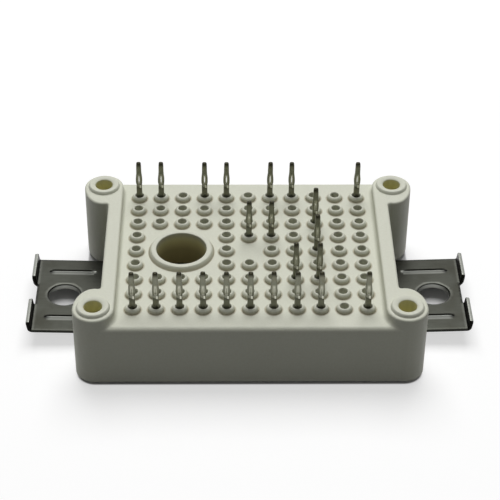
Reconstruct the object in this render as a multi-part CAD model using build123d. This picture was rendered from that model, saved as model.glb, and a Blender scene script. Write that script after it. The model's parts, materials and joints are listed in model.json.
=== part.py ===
from build123d import *
from math import atan2, cos, degrees, hypot, radians, sin
import os

# Power semiconductor module with press-fit contacts, in millimetres.
# It stands on its bare substrate at z = 0. X runs through the two clamps,
# Y towards the rear, Z up through the contact pins.

# Contact grid of the lid
GRID_PITCH = 3.2
COLUMNS = 11
ROWS = 9
PINS_BY_ROW = {
    0: (0, 1, 3, 4, 6, 7, 10),
    2: (8,),
    3: (5, 6),
    4: (8,),
    6: (7, 8),
    8: (0, 1, 2, 3, 4, 5, 6, 7, 8, 10),
}
BARE_PLACES = {(5, 4)}

# Housing, seen from above
FLOOR_LENGTH = 36.8
CASE_DEPTH = 33.8
RAIL_WIDTH = 2.05
POST_RADIUS = 2.85
WALL_SETBACK = 0.05
LOBE_REACH = 4.3
LOBE_CORNER = 0.4
SIDE_WALL = 1.1
END_WALL = 2.6
CAVITY_CORNER = 0.5
POCKET_CORNER = 0.3

# Housing heights
RIM_Z = 0.4
FLOOR_Z = 10.15
RAIL_HEIGHT = 1.4
RING_HEIGHT = 0.45
BOSS_HEIGHT = 0.7
LID_THICKNESS = 1.4

# Housing details
RING_RADIUS = 2.3
SCREW_HOLE_RADIUS = 1.25
SCREW_HOLE_DEPTH = 8.5
FILL_HOLE_RADIUS = 3.55
COLLAR_FOOT_RADIUS = 4.6
COLLAR_TOP_RADIUS = 4.2
FILL_HOLE_PLACE = (2, 4)
FILL_HOLE_SPAN = 1
FILL_NECK_RADIUS = 4.3
FILL_NECK_Z = 5.4
FLOOR_EDGE_FILLET = 0.7
RAIL_FOOT_FILLET = 0.6
RAIL_TOP_CHAMFER = 0.2
RIM_CHAMFER_HEIGHT = 0.6
RIM_CHAMFER_DEPTH = 0.3

# Guide bosses of the lid, with flat sides to keep so many of them light.
# Their radii are measured to the flats.
BOSS_SIDES = 6
BOSS_FOOT_RADIUS = 1.1
BOSS_TOP_RADIUS = 0.86
BOSS_HOLE_RADIUS = 0.55

# Clamps, one pressed sheet each
CLAMP_TOP_Z = 2.25
CLAMP_THICKNESS = 0.5
CLAMP_WIDTH = 16.0
CLAMP_REACH = 10.95
CLAMP_ROOT = 1.5
CLAMP_HOLE_REACH = 6.05
CLAMP_HOLE_RADIUS = 2.35
CLAMP_SLOT_CLEARANCE = 0.05
EAR_HEIGHT = 1.35
EAR_ANGLE = 80
EAR_BEND_RADIUS = 0.2
EAR_CORNER = 0.35
EAR_NOTCH_WIDTH = 4.6
EAR_NOTCH_INSET = 0.8
BEAD_OFFSET = 5.15
BEAD_WIDTH = 1.4
BEAD_DEPTH = 0.35
BEAD_START = 1.6
BEAD_END = 9.1
BEAD_POINT = 1.5
BEAD_SLOPE = 45

# Contact pins, stamped from one thickness of strip
PIN_THICKNESS = 0.64
PIN_SHANK_WIDTH = 0.84
PIN_NECK_WIDTH = 0.74
PIN_EYE_WIDTH = 0.94
PIN_TIP_WIDTH = 0.78
PIN_POINT_WIDTH = 0.5
PIN_REACH = 6.55
PIN_SHOULDER = 4.7
PIN_NECK = 4.4
PIN_POINT = 0.25
EYE_LENGTH = 2.5
EYE_STRAIGHT = 0.9
EYE_SLOT_LENGTH = 2.1
EYE_SLOT_WIDTH = 0.16

# Sleeves that hold the pins on the substrate
SLEEVE_SIDES = 6
SLEEVE_WALL = 0.31
SLEEVE_HEIGHT = 3.2
SLEEVE_CLEARANCE = 0.01
PIN_SEAT_HEIGHT = 0.5

# Substrate and what is soldered on it
BASE_COPPER_THICKNESS = 0.3
CERAMIC_THICKNESS = 0.38
TRACK_THICKNESS = 0.3
TRACK_GAP = 0.7
CERAMIC_OVERHANG = 0.9
CERAMIC_CLEARANCE = 0.15
COPPER_MARGIN = 1.2
ADHESIVE_THICKNESS = 0.12
SOLDER_THICKNESS = 0.1
SWITCH_SIZE = (3.2, 3.6, 0.12)
DIODE_SIZE = (2.2, 2.4, 0.12)
RECTIFIER_SIZE = (2.0, 3.2, 0.2)
THERMISTOR_SIZE = (1.6, 1.0, 0.8)
WIRE_THICKNESS = 0.25
WIRE_FOOT = 0.5
WIRE_RISE = 0.28
WIRE_SLOPE = 0.3
GEL_TOP_Z = 4.8

# Values that follow from the ones above
CASE_LENGTH = FLOOR_LENGTH + 2 * RAIL_WIDTH
POST_X = FLOOR_LENGTH / 2 + POST_RADIUS
POST_Y = CASE_DEPTH / 2 - POST_RADIUS
RAIL_Z = FLOOR_Z + RAIL_HEIGHT
RING_Z = RAIL_Z + RING_HEIGHT
BOSS_Z = FLOOR_Z + BOSS_HEIGHT
PIN_Z = FLOOR_Z + PIN_REACH
CEILING_Z = FLOOR_Z - LID_THICKNESS
CAVITY_LENGTH = FLOOR_LENGTH - 2 * SIDE_WALL
CAVITY_DEPTH = CASE_DEPTH - 2 * END_WALL
CERAMIC_LENGTH = CAVITY_LENGTH + 2 * CERAMIC_OVERHANG
CERAMIC_DEPTH = CAVITY_DEPTH + 2 * CERAMIC_OVERHANG
CERAMIC_Z = BASE_COPPER_THICKNESS + CERAMIC_THICKNESS
LEDGE_Z = CERAMIC_Z + ADHESIVE_THICKNESS
TRACK_Z = CERAMIC_Z + TRACK_THICKNESS
CHIP_Z = TRACK_Z + SOLDER_THICKNESS
SLEEVE_BORE = hypot(PIN_SHANK_WIDTH, PIN_THICKNESS) / 2 + SLEEVE_CLEARANCE
CLAMP_BOTTOM_Z = CLAMP_TOP_Z - CLAMP_THICKNESS
CLAMP_HOLE_X = CASE_LENGTH / 2 + CLAMP_HOLE_REACH

# Solder islands of the substrate in grid steps from its middle: left, right, front, rear.
# Rectangles listed together are one island.
EDGE_X = (CERAMIC_LENGTH / 2 - COPPER_MARGIN + TRACK_GAP / 2) / GRID_PITCH
EDGE_Y = (CERAMIC_DEPTH / 2 - COPPER_MARGIN + TRACK_GAP / 2) / GRID_PITCH
ISLANDS = {
    "input_1": [(-EDGE_X, -4.5, -EDGE_Y, 0.0)],
    "input_2": [(-4.5, -3.5, -EDGE_Y, 0.0)],
    "input_3": [(-3.5, -2.5, -EDGE_Y, 0.0)],
    "rectified_plus": [(-EDGE_X, -2.9, 0.0, EDGE_Y)],
    "minus": [(-2.5, -1.5, -EDGE_Y, 0.5)],
    "link_plus": [(-2.9, EDGE_X, 1.5, 3.5)],
    "phase_u": [(-1.5, 0.5, -3.5, -0.5), (-1.5, -0.5, -1.5, 1.5)],
    "phase_v": [(0.5, 2.5, -3.5, -0.5), (1.5, 2.5, -1.5, 1.5)],
    "phase_w": [(2.5, EDGE_X, -3.5, -0.5), (2.5, 3.5, -1.5, 1.5)],
    "brake": [(3.5, EDGE_X, -0.5, 1.5)],
    "sense_1": [(-0.5, 0.5, 0.5, 1.5)],
    "sense_2": [(0.5, 1.5, 0.5, 1.5)],
    "rear_1": [(-2.5, -1.5, 3.5, EDGE_Y)],
    "rear_2": [(-1.5, -0.5, 3.5, EDGE_Y)],
    "rear_3": [(0.5, 1.5, 3.5, EDGE_Y)],
    "rear_4": [(1.5, 2.5, 3.5, EDGE_Y)],
    "rear_5": [(4.5, EDGE_X, 3.5, EDGE_Y)],
    "front_1": [(-1.5, -0.5, -EDGE_Y, -3.5)],
    "front_2": [(-0.5, 0.5, -EDGE_Y, -3.5)],
    "front_3": [(0.5, 1.5, -EDGE_Y, -3.5)],
    "front_4": [(1.5, 2.5, -EDGE_Y, -3.5)],
    "thermistor_1": [(2.5, 4.0, -EDGE_Y, -3.5)],
    "thermistor_2": [(4.0, EDGE_X, -EDGE_Y, -3.5)],
}

# Chip places in grid steps from the middle
SWITCHES = {
    "inverter_igbt_chip_1": (-2.25, 2.5),
    "inverter_igbt_chip_2": (-0.2, 2.5),
    "inverter_igbt_chip_3": (1.8, 2.5),
    "inverter_igbt_chip_4": (-0.5, -1.4),
    "inverter_igbt_chip_5": (1.2, -1.3),
    "inverter_igbt_chip_6": (4.5, -1.3),
    "brake_igbt_chip": (4.5, 0.5),
}
DIODES = {
    "freewheel_diode_chip_1": (-1.3, 2.5),
    "freewheel_diode_chip_2": (0.8, 2.5),
    "freewheel_diode_chip_3": (3.9, 2.5),
    "freewheel_diode_chip_4": (-0.5, -2.7),
    "freewheel_diode_chip_5": (1.2, -2.7),
    "freewheel_diode_chip_6": (4.5, -2.7),
    "brake_diode_chip": (4.9, 2.5),
}
RECTIFIERS = {
    "rectifier_diode_chip_1": (-4.9, 1.0),
    "rectifier_diode_chip_2": (-4.15, 1.0),
    "rectifier_diode_chip_3": (-3.4, 1.0),
    "rectifier_diode_chip_4": (-4.95, -1.3),
    "rectifier_diode_chip_5": (-4.0, -2.0),
    "rectifier_diode_chip_6": (-3.0, -2.7),
}
THERMISTOR_PLACE = (4.0, -4.0)

# Bond wires by chip, in grid steps: offset of the wire's foot from the chip's middle,
# and the place of its far foot
WIRES = {
    "rectifier_diode_chip_1": ((0.0, 0.0), (-4.95, -0.35)),
    "rectifier_diode_chip_2": ((0.0, 0.0), (-4.0, -0.35)),
    "rectifier_diode_chip_3": ((0.0, 0.0), (-3.0, -0.35)),
    "rectifier_diode_chip_4": ((0.0, 0.0), (-2.0, -1.3)),
    "rectifier_diode_chip_5": ((0.0, 0.0), (-2.0, -2.0)),
    "rectifier_diode_chip_6": ((0.0, 0.0), (-2.0, -2.7)),
    "inverter_igbt_chip_1": ((0.2, -0.2), (-1.1, 0.9)),
    "inverter_igbt_chip_2": ((0.3, -0.2), (1.8, 1.0)),
    "inverter_igbt_chip_3": ((0.2, -0.2), (2.8, 1.1)),
    "inverter_igbt_chip_4": ((-0.3, -0.3), (-1.3, -3.65)),
    "inverter_igbt_chip_5": ((-0.35, -0.2), (0.7, -3.7)),
    "inverter_igbt_chip_6": ((-0.3, -0.3), (1.85, -3.62)),
    "brake_igbt_chip": ((-0.3, 0.3), (3.9, 1.7)),
    "freewheel_diode_chip_1": ((0.0, -0.1), (-0.8, 1.2)),
    "freewheel_diode_chip_2": ((0.0, -0.1), (2.1, 1.25)),
    "freewheel_diode_chip_3": ((0.0, -0.1), (3.2, 1.2)),
    "freewheel_diode_chip_4": ((-0.1, 0.0), (-1.9, -3.2)),
    "freewheel_diode_chip_5": ((0.1, 0.0), (1.3, -3.7)),
    "freewheel_diode_chip_6": ((-0.1, 0.0), (2.3, -3.68)),
    "brake_diode_chip": ((0.0, -0.1), (4.9, 1.2)),
}


def grid(column, row):
    """Place of a grid position, counted from the rear left corner."""
    x = (column - (COLUMNS - 1) / 2) * GRID_PITCH
    y = ((ROWS - 1) / 2 - row) * GRID_PITCH
    return x, y


def pin_places():
    return [(column, row) for row, columns in PINS_BY_ROW.items() for column in columns]


def boss_places():
    """Every grid position has a boss, but for the fill hole's field and the bare places."""
    hole_column, hole_row = FILL_HOLE_PLACE
    places = []
    for row in range(ROWS):
        for column in range(COLUMNS):
            near_hole = max(abs(column - hole_column), abs(row - hole_row)) <= FILL_HOLE_SPAN
            if not near_hole and (column, row) not in BARE_PLACES:
                places.append(grid(column, row))
    return places


def post_places():
    return [(side * POST_X, end * POST_Y) for side in (-1, 1) for end in (-1, 1)]


def flat_sided(radius, sides):
    """Regular outline whose radius is measured to its flats."""
    return RegularPolygon(radius, sides, major_radius=False)


def standing(sketch, bottom, top):
    return Pos(0, 0, bottom) * extrude(sketch, top - bottom)


def plate(length, depth, bottom, top, corner=0.0):
    """Level plate round the Z axis, with its corners cut off if asked."""
    outline = Rectangle(length, depth)
    if corner:
        outline = chamfer(outline.vertices(), corner)
    return standing(outline, bottom, top)


def case_block():
    """Block between the posts, whose top rolls over into the front and rear walls.

    Those walls stand back a little, so that they cross the round posts at an angle.
    """
    middle_z = (FLOOR_Z + RIM_Z) / 2
    section = Plane.YZ * Pos(0, middle_z) * Rectangle(CASE_DEPTH - 2 * WALL_SETBACK, FLOOR_Z - RIM_Z)
    block = extrude(section, POST_X, both=True)
    long_edges = block.edges().filter_by(Axis.X).group_by(Axis.Z)[-1]
    block = fillet(long_edges, FLOOR_EDGE_FILLET)
    overhang = POST_X - CASE_LENGTH / 2
    for side in (-1, 1):
        middle = side * (CASE_LENGTH + overhang) / 2
        block -= Pos(middle, 0, middle_z) * Box(overhang, 2 * POST_Y, FLOOR_Z)
    return block


def side_outline(side):
    """One rail with a screw post at each end, drawn out along the side wall towards the clamp."""
    x = side * POST_X
    outline = Pos(side * (FLOOR_LENGTH + RAIL_WIDTH) / 2, 0) * Rectangle(RAIL_WIDTH, 2 * POST_Y)
    between_posts = Pos(x, 0) * Rectangle(2 * POST_RADIUS, 2 * POST_Y)
    for y in (-POST_Y, POST_Y):
        outline += Pos(x, y) * Circle(POST_RADIUS)
        outline += Pos(x, y) * Ellipse(POST_RADIUS, LOBE_REACH) & between_posts
    wall = side * CASE_LENGTH / 2
    corners = [v for v in outline.vertices() if abs(v.X - wall) < 0.01 and abs(v.Y) < POST_Y - 0.01]
    return fillet(corners, LOBE_CORNER)


def floor_foot_edges(body):
    """Edges where the floor meets the rails and posts, down to where it rolls over."""
    edges = body.edges().filter_by_position(Axis.Z, FLOOR_Z - FLOOR_EDGE_FILLET, FLOOR_Z + 0.01)
    beside_floor = [e for e in edges if FLOOR_LENGTH / 2 - 0.01 < abs(e.center().X) < POST_X]
    return [e for e in beside_floor if e.bounding_box().size.X < FLOOR_LENGTH / 2]


def outer_form():
    """The moulding without its bosses and holes."""
    body = case_block() + [standing(side_outline(side), RIM_Z, RAIL_Z) for side in (-1, 1)]
    body = chamfer(body.edges().group_by(Axis.Z)[-1], RAIL_TOP_CHAMFER)
    body = fillet(floor_foot_edges(body), RAIL_FOOT_FILLET)
    return chamfer(body.edges().group_by(Axis.Z)[0], RIM_CHAMFER_HEIGHT, RIM_CHAMFER_DEPTH)


def guide_boss():
    slope = degrees(atan2(BOSS_FOOT_RADIUS - BOSS_TOP_RADIUS, BOSS_HEIGHT))
    foot = flat_sided(BOSS_FOOT_RADIUS, BOSS_SIDES)
    return Pos(0, 0, FLOOR_Z) * extrude(foot, BOSS_HEIGHT, taper=slope)


def clamp_slot():
    """Slot in the right side wall that takes the root of a clamp."""
    depth = CLAMP_ROOT + CLAMP_SLOT_CLEARANCE
    width = CLAMP_WIDTH + 2 * CLAMP_SLOT_CLEARANCE
    height = CLAMP_THICKNESS + 2 * CLAMP_SLOT_CLEARANCE
    middle_z = CLAMP_TOP_Z - CLAMP_THICKNESS / 2
    return Pos((CASE_LENGTH - depth) / 2, 0, middle_z) * Box(depth, width, height)


def housing():
    """One moulding: four screw posts, two rails and the lid with its guide bosses.

    A neck under the lid leads the soft fill down from the fill hole.
    """
    body = outer_form()
    ring = standing(Circle(RING_RADIUS), RAIL_Z, RING_Z)
    screw_hole = standing(Circle(SCREW_HOLE_RADIUS), RING_Z - SCREW_HOLE_DEPTH, RING_Z)
    body += [Pos(x, y) * ring for x, y in post_places()]
    body -= [Pos(x, y) * screw_hole for x, y in post_places()]

    fill_hole = Pos(*grid(*FILL_HOLE_PLACE))
    collar = Cone(COLLAR_FOOT_RADIUS, COLLAR_TOP_RADIUS, BOSS_HEIGHT)
    boss = guide_boss()
    body += [Pos(x, y) * boss for x, y in boss_places()]
    body += fill_hole * Pos(0, 0, FLOOR_Z + BOSS_HEIGHT / 2) * collar

    pocket_length = CERAMIC_LENGTH + 2 * CERAMIC_CLEARANCE
    pocket_depth = CERAMIC_DEPTH + 2 * CERAMIC_CLEARANCE
    body -= plate(CAVITY_LENGTH, CAVITY_DEPTH, 0, CEILING_Z, CAVITY_CORNER)
    body -= plate(pocket_length, pocket_depth, 0, LEDGE_Z, POCKET_CORNER)

    pin_hole = standing(flat_sided(BOSS_HOLE_RADIUS, BOSS_SIDES), CEILING_Z, BOSS_Z)
    body -= [Pos(x, y) * pin_hole for x, y in boss_places()]
    body += fill_hole * standing(Circle(FILL_NECK_RADIUS), FILL_NECK_Z, CEILING_Z)
    body -= fill_hole * standing(Circle(FILL_HOLE_RADIUS), FILL_NECK_Z, BOSS_Z)
    return body - [clamp_slot(), mirror(clamp_slot(), Plane.YZ)]


def ear_section(bend_x):
    """Section of the turned-up edge: flat sheet, bend and flange."""
    turn = radians(EAR_ANGLE)
    inner = EAR_BEND_RADIUS
    outer = EAR_BEND_RADIUS + CLAMP_THICKNESS
    centre_z = CLAMP_TOP_Z + inner
    length = flange_length()

    def bent(radius, angle, along=0.0):
        x = bend_x + radius * sin(angle) + along * cos(turn)
        z = centre_z - radius * cos(angle) + along * sin(turn)
        return x, z

    flat_start = bend_x - EAR_NOTCH_INSET - CLAMP_THICKNESS
    outline = Line((flat_start, CLAMP_TOP_Z), bent(inner, 0))
    outline += ThreePointArc(bent(inner, 0), bent(inner, turn / 2), bent(inner, turn))
    flange_top = bent(inner, turn, length), bent(outer, turn, length)
    outline += Polyline(bent(inner, turn), *flange_top, bent(outer, turn))
    outline += ThreePointArc(bent(outer, turn), bent(outer, turn / 2), bent(outer, 0))
    outline += Polyline(bent(outer, 0), (flat_start, CLAMP_BOTTOM_Z), (flat_start, CLAMP_TOP_Z))
    return Plane.XZ * make_face(outline)


def flange_length():
    """Straight part of an ear above its bend."""
    turn = radians(EAR_ANGLE)
    return (EAR_HEIGHT - EAR_BEND_RADIUS * (1 - cos(turn))) / sin(turn)


def ears(tip_x):
    """Two turned-up ears with their corners cut off, apart by the notch of the outer edge."""
    turn = radians(EAR_ANGLE)
    bend_x = tip_x - (EAR_BEND_RADIUS + CLAMP_THICKNESS) * sin(turn) - flange_length() * cos(turn)
    strip = extrude(ear_section(bend_x), CLAMP_WIDTH / 2, both=True)
    width = (CLAMP_WIDTH - EAR_NOTCH_WIDTH) / 2
    height = 2 * (EAR_HEIGHT + CLAMP_THICKNESS)
    window = Rectangle(width, height)
    window = chamfer(window.vertices().group_by(Axis.Y)[-1], EAR_CORNER)
    keep = Part()
    for end in (-1, 1):
        middle = Pos(end * (EAR_NOTCH_WIDTH + width) / 2, CLAMP_TOP_Z + EAR_HEIGHT - height / 2)
        keep += extrude(Plane.YZ * middle * window, 2 * tip_x, both=True)
    return strip & keep


def bead(surface_z):
    """Pressed bead below one face of the sheet, with pointed ends and sloping sides."""
    start = CASE_LENGTH / 2 + BEAD_START
    end = CASE_LENGTH / 2 + BEAD_END
    half = BEAD_WIDTH / 2
    front = [(start + BEAD_POINT, -half), (end - BEAD_POINT, -half)]
    rear = [(end - BEAD_POINT, half), (start + BEAD_POINT, half)]
    outline = Polygon((start, 0), *front, (end, 0), *rear)
    pressed = extrude(outline, BEAD_DEPTH, taper=BEAD_SLOPE)
    return Pos(0, 0, surface_z) * mirror(pressed, Plane.XY)


def clamp(side):
    """Right-hand clamp, or its mirror image for the left."""
    root_x = CASE_LENGTH / 2 - CLAMP_ROOT
    tip_x = CASE_LENGTH / 2 + CLAMP_REACH
    notch_x = tip_x - EAR_NOTCH_INSET
    outline = Pos((root_x + notch_x) / 2, 0) * Rectangle(notch_x - root_x, CLAMP_WIDTH)
    sheet = standing(outline, CLAMP_BOTTOM_Z, CLAMP_TOP_Z) + ears(tip_x)
    for end in (-1, 1):
        sheet += Pos(0, end * BEAD_OFFSET) * bead(CLAMP_BOTTOM_Z)
        sheet -= Pos(0, end * BEAD_OFFSET) * bead(CLAMP_TOP_Z)
    sheet -= Pos(CLAMP_HOLE_X, 0) * standing(Circle(CLAMP_HOLE_RADIUS), 0, 2 * CLAMP_TOP_Z)
    return sheet if side > 0 else mirror(sheet, Plane.YZ)


def contact_pin():
    """Press-fit pin: flat shank, slight neck, sprung eye of needle and blunt point."""
    foot_z = TRACK_Z + PIN_SEAT_HEIGHT
    shoulder_z = PIN_Z - PIN_SHOULDER
    neck_z = PIN_Z - PIN_NECK
    eye_z = neck_z + EYE_LENGTH / 2
    shank, neck, eye = PIN_SHANK_WIDTH / 2, PIN_NECK_WIDTH / 2, PIN_EYE_WIDTH / 2
    tip, point = PIN_TIP_WIDTH / 2, PIN_POINT_WIDTH / 2
    straight = EYE_STRAIGHT / 2

    right = [(shank, foot_z), (shank, shoulder_z), (neck, neck_z), (eye, eye_z - straight)]
    right += [(eye, eye_z + straight), (tip, neck_z + EYE_LENGTH), (tip, PIN_Z - PIN_POINT), (point, PIN_Z)]
    left = [(-x, z) for x, z in reversed(right)]
    slot_end = EYE_SLOT_LENGTH / 2
    slot = EYE_SLOT_WIDTH / 2
    slot_right = [(0, eye_z - slot_end), (slot, eye_z - straight), (slot, eye_z + straight)]
    slot_left = [(0, eye_z + slot_end), (-slot, eye_z + straight), (-slot, eye_z - straight)]
    face = Polygon(*right, *left) - Polygon(*slot_right, *slot_left)
    return extrude(Plane.XZ * face, PIN_THICKNESS / 2, both=True)


def sleeve_outline():
    return flat_sided(SLEEVE_BORE + SLEEVE_WALL, SLEEVE_SIDES)


def pin_sleeve():
    """Sleeve that stands on the substrate and grips the pin's foot."""
    ring = sleeve_outline() - flat_sided(SLEEVE_BORE, SLEEVE_SIDES)
    return standing(ring, TRACK_Z, TRACK_Z + SLEEVE_HEIGHT)


def island(rectangles):
    """One solder island, each of its rectangles drawn in by half the gap between islands."""
    outline = Sketch()
    for left, right, front, rear in rectangles:
        length = (right - left) * GRID_PITCH - TRACK_GAP
        depth = (rear - front) * GRID_PITCH - TRACK_GAP
        middle = Pos((left + right) / 2 * GRID_PITCH, (front + rear) / 2 * GRID_PITCH)
        outline += middle * Rectangle(length, depth)
    return standing(outline, CERAMIC_Z, TRACK_Z)


def block(size, place, bottom):
    """Small block whose place is in grid steps."""
    length, depth, height = size
    x, y = place
    return Pos(x * GRID_PITCH, y * GRID_PITCH, bottom + height / 2) * Box(length, depth, height)


def solder_pad(size, place):
    length, depth, _ = size
    return block((length, depth, SOLDER_THICKNESS), place, TRACK_Z)


def chips():
    """Name, size and place of every chip."""
    table = {name: (SWITCH_SIZE, place) for name, place in SWITCHES.items()}
    table |= {name: (DIODE_SIZE, place) for name, place in DIODES.items()}
    table |= {name: (RECTIFIER_SIZE, place) for name, place in RECTIFIERS.items()}
    return table


def bond_wire(start, end):
    """Flat aluminium band that rises from the chip, runs level and comes down on the far island."""
    (x0, y0, z0), (x1, y1, z1) = start, end
    span = hypot(x1 - x0, y1 - y0)
    top = max(z0, z1) + WIRE_RISE * span
    foot = WIRE_FOOT / 2
    slope = WIRE_SLOPE * span
    level = top - WIRE_THICKNESS
    under = [(foot, z0), (slope, level), (span - slope, level), (span - foot, z1)]
    over = [(span + foot, z1), (span - slope, top), (slope, top), (-foot, z0)]
    along = (x1 - x0, y1 - y0, 0)
    upright = Plane((x0, y0, 0), x_dir=along, z_dir=(along[1], -along[0], 0))
    return extrude(upright * Polygon(*under, *over), WIRE_THICKNESS / 2, both=True)


def wires():
    table = chips()
    loops = []
    for name, ((dx, dy), (far_x, far_y)) in WIRES.items():
        size, (x, y) = table[name]
        start = ((x + dx) * GRID_PITCH, (y + dy) * GRID_PITCH, CHIP_Z + size[2])
        loops.append(bond_wire(start, (far_x * GRID_PITCH, far_y * GRID_PITCH, TRACK_Z)))
    return loops


def group(solids):
    return Compound(children=list(solids))


def substrate():
    """Ceramic with copper on both faces, and the glue seam that holds the housing on it."""
    copper_length = CERAMIC_LENGTH - 2 * COPPER_MARGIN
    copper_depth = CERAMIC_DEPTH - 2 * COPPER_MARGIN
    seam = plate(CERAMIC_LENGTH, CERAMIC_DEPTH, CERAMIC_Z, LEDGE_Z)
    seam -= plate(CAVITY_LENGTH, CAVITY_DEPTH, CERAMIC_Z, LEDGE_Z, CAVITY_CORNER)
    return {
        "base_copper": plate(copper_length, copper_depth, 0, BASE_COPPER_THICKNESS),
        "ceramic_plate": plate(CERAMIC_LENGTH, CERAMIC_DEPTH, BASE_COPPER_THICKNESS, CERAMIC_Z),
        "adhesive_bead": seam,
    }


def circuit(pin_spots):
    """What stands on the substrate, and the soft fill round it."""
    tracks = [island(rectangles) for rectangles in ISLANDS.values()]
    dies = {name: block(size, place, CHIP_Z) for name, (size, place) in chips().items()}
    pads = [solder_pad(size, place) for size, place in chips().values()]
    thermistor = block(THERMISTOR_SIZE, THERMISTOR_PLACE, TRACK_Z)
    loops = wires()

    fill = plate(CAVITY_LENGTH, CAVITY_DEPTH, CERAMIC_Z, GEL_TOP_Z, CAVITY_CORNER)
    fill -= tracks + pads + list(dies.values()) + [thermistor] + loops
    fill -= [spot * standing(sleeve_outline(), TRACK_Z, GEL_TOP_Z) for spot in pin_spots]
    return dies | {
        "copper_tracks": group(tracks),
        "thermistor": thermistor,
        "solder_joints": group(pads),
        "bond_wires": group(loops),
        "silicone_gel": fill,
    }


def assembly():
    """Every piece by name, in its place."""
    spots = {place: Pos(*grid(*place)) for place in pin_places()}
    sleeve = pin_sleeve()
    pin = contact_pin()
    pieces = {"housing": housing(), "clamp_left": clamp(-1), "clamp_right": clamp(1)}
    pieces |= {f"contact_pin_r{row}_c{column}": spot * pin for (column, row), spot in spots.items()}
    pieces["pin_sleeves"] = group(spot * sleeve for spot in spots.values())
    return pieces | substrate() | circuit(spots.values())


os.makedirs("parts", exist_ok=True)
for node, solid in assembly().items():
    export_step(solid, f"parts/{node}.step")
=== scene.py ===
import json
import math

import bmesh
import bpy
from mathutils import Matrix, Vector
from mathutils.geometry import delaunay_2d_cdt


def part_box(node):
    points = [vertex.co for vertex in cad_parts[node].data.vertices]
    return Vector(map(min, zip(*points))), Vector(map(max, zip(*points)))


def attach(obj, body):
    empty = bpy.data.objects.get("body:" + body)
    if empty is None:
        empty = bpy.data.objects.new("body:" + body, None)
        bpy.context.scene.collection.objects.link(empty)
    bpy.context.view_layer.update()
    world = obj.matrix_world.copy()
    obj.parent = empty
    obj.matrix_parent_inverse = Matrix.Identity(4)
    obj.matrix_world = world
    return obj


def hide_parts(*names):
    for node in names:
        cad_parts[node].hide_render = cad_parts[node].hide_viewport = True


# Looks of a power semiconductor module: moulded housing with a lid of guide bosses,
# press-fit contacts, sheet clamps at both ends, and its soldered circuit inside.
# Shapes are worked out in millimetres and become metres when they turn into a mesh.

MM = 0.001

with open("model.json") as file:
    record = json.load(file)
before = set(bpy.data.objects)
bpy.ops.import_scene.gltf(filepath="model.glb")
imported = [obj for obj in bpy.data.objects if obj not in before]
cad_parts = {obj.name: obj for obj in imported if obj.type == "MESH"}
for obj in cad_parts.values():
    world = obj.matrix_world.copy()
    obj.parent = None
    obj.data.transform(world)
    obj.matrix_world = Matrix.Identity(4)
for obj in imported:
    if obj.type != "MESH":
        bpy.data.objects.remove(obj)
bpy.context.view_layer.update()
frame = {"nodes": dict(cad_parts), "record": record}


def corner(node, end):
    """Lowest (0) or highest (1) corner of a CAD node, in millimetres."""
    return [round(value / MM, 3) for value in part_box(node)[end]]


# Contact grid of the lid
GRID_PITCH = 3.2
COLUMNS = 11
ROWS = 9
FILL_HOLE_PLACE = (2, 4)
FILL_HOLE_TILES = 3
BARE_PLACE = (5, 4)

# Housing. Where the CAD keeps an edge coarser than the real one, both values are here.
CAD_RIM_Z = 0.4
CAD_RIM_TOP_Z = 1.0
RIM_Z = 0.15
RIM_TOP_Z = 0.45
FLOOR_Z = 10.15
CEILING_Z = 8.75
FILL_HOLE_RADIUS = 3.55
FILL_NECK_Z = 5.4
RAIL_Z = 11.55
CAD_RAIL_ROUNDING = 0.2
RAIL_ROUNDING = 0.32
RING_Z = corner("housing", 1)[2]
POST_X = 21.25
POST_Y = 14.05
RING_RADIUS = 2.3
SCREW_HOLE_RADIUS = 1.25
SCREW_HOLE_DEPTH = 8.5
BOSS_RAYS = 32
POST_RAYS = 64

# Clamps. Lengths along the blank are counted from the middle of the module, and the blank comes
# out of the side wall at CLAMP_WALL_X.
CLAMP_ROOT_X = corner("clamp_right", 0)[0]
CLAMP_WALL_X = 20.45
CLAMP_BEND_X = 30.5
CLAMP_NOTCH_X = 30.6
CLAMP_TOP_Z = 2.25
CLAMP_THICKNESS = 0.5
CLAMP_WIDTH = 2 * corner("clamp_right", 1)[1]
CLAMP_EDGE_ROUNDING = 0.08
CLAMP_HOLE_X = 26.5
CLAMP_HOLE_RADIUS = 2.35
HOLE_RAYS = 96
HOLE_ROLL_OVER = 0.2
HOLE_COLLAR = 0.4
COLLAR_WALL = 0.24
EAR_ANGLE = math.radians(80)
EAR_LENGTH = 1.12
EAR_BEND_RADIUS = 0.2
EAR_NOTCH_WIDTH = 4.6

# Stiffening beads: the lowest line lies near the rear edge, so that side is the steep one
BEAD_Y = 5.15
BEAD_START_X = 22.3
BEAD_END_X = 29.1
BEAD_WIDTH = 1.1
BEAD_DEPTH = 0.16
BEAD_DEEPEST = 0.66
BEAD_RUN_OUT = 0.9
BEAD_ROWS = [-1 + 0.17 * i for i in range(10)] + [0.6, 0.66, 0.72, 0.79, 0.86, 0.93, 0.99]

# Each clamp sits a little out of its slot and springs up a little at its free end
CLAMP_PLAY = {-1: 0.13, 1: 0.3}
CLAMP_SPRING = {-1: math.radians(1.5), 1: math.radians(1.9)}

# Contacts
PIN_NODES = sorted(name for name in frame["nodes"] if name.startswith("contact_pin"))
PIN_FOOT_Z = corner(PIN_NODES[0], 0)[2]
PIN_Z = corner(PIN_NODES[0], 1)[2]
PIN_LEAN = math.radians(0.6)
PIN_SEED = 7
COINED_STRIP = 0.21

# How near a point is to a level, and how near to a round wall, to count as lying on it
FLAT = 0.001
NEAR = 0.01


# Node trees


def linear(colour):
    """Linear colour of an sRGB hex value such as #C9CBBA."""
    parts = [int(colour[i:i + 2], 16) / 255 for i in (1, 3, 5)]
    return [c / 12.92 if c <= 0.04045 else ((c + 0.055) / 1.055) ** 2.4 for c in parts] + [1.0]


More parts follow.
